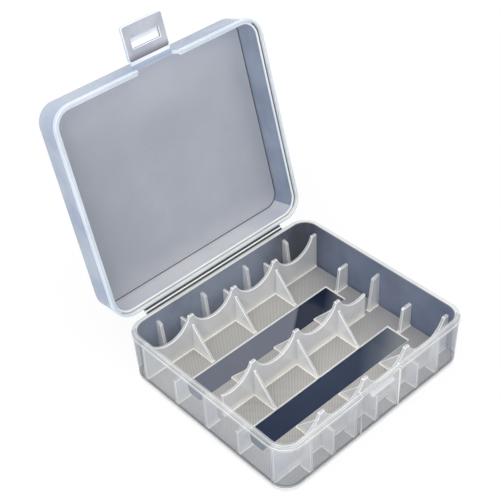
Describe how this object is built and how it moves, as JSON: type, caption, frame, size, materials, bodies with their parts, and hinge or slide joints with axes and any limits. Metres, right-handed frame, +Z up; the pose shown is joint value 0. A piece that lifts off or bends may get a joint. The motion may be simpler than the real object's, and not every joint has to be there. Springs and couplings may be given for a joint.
{
  "type": "battery storage case",
  "caption": "Translucent storage case for round cells, with a cradle-lined tray, a living-hinge lid and a slotted latch flap",
  "frame": {"origin": "middle of the flat underside", "axes": "X along the hinge to the right, -Y to the latch side, +Z up"},
  "size_m": [0.0864, 0.1104, 0.1081],
  "materials": {
    "clear_case": "milky see-through polypropylene",
    "frosted_panel": "finely textured translucent polypropylene",
    "polished_floor_window": "smooth dark gloss",
    "hinge_film": "thin flexed polypropylene"
  },
  "bodies": {
    "tray": {"tray_floor": "frosted_panel", "tray_walls": "clear_case", "tray_rim": "clear_case", "rear_floor_strip": "polished_floor_window", "front_floor_strip": "polished_floor_window", "latch_catch": "clear_case", "rear_saddle": "clear_case", "middle_saddle": "clear_case", "front_saddle": "clear_case", "rear_saddle_gusset_1": "clear_case", "middle_saddle_rear_gusset_1": "clear_case", "middle_saddle_front_gusset_1": "clear_case", "front_saddle_gusset_1": "clear_case", "rear_lane_rib_1": "clear_case", "front_lane_rib_1": "clear_case", "rear_saddle_gusset_2": "clear_case", "middle_saddle_rear_gusset_2": "clear_case", "middle_saddle_front_gusset_2": "clear_case", "front_saddle_gusset_2": "clear_case", "rear_lane_rib_2": "clear_case", "front_lane_rib_2": "clear_case", "rear_saddle_gusset_3": "clear_case", "middle_saddle_rear_gusset_3": "clear_case", "middle_saddle_front_gusset_3": "clear_case", "front_saddle_gusset_3": "clear_case", "rear_lane_rib_3": "clear_case", "front_lane_rib_3": "clear_case", "rear_end_fin_1": "clear_case", "front_end_fin_1": "clear_case", "rear_end_fin_2": "clear_case", "front_end_fin_2": "clear_case", "rear_end_fin_3": "clear_case", "front_end_fin_3": "clear_case", "rear_end_fin_4": "clear_case", "front_end_fin_4": "clear_case", "left_side_fin_front": "clear_case", "left_side_fin_middle": "clear_case", "left_side_fin_rear": "clear_case", "right_side_fin_front": "clear_case", "right_side_fin_middle": "clear_case", "right_side_fin_rear": "clear_case", "tray_hinge_web": "hinge_film"},
    "hinge_strap": {"hinge_strap": "hinge_film"},
    "lid": {"lid_hinge_web": "hinge_film", "lid_panel": "frosted_panel", "lid_walls": "clear_case", "lid_rim": "clear_case", "latch_hinge_web": "hinge_film"},
    "latch_flap": {"latch_flap": "clear_case"}
  },
  "joints": [
    {"name": "tray_fold", "type": "hinge", "parent": "tray", "child": "hinge_strap", "pos_m": [0, 0.0393, 0.01945], "axis": [-1, 0, 0], "range_deg": [-52.33, 37.67]},
    {"name": "lid_fold", "type": "hinge", "parent": "hinge_strap", "child": "lid", "pos_m": [0, 0.04088, 0.02067], "axis": [-1, 0, 0], "range_deg": [-52.33, 37.67]},
    {"name": "latch_fold", "type": "hinge", "parent": "lid", "child": "latch_flap", "pos_m": [0, 0.06445, 0.09503], "axis": [-1, 0, 0], "range_deg": [-90, 15]}
  ]
}
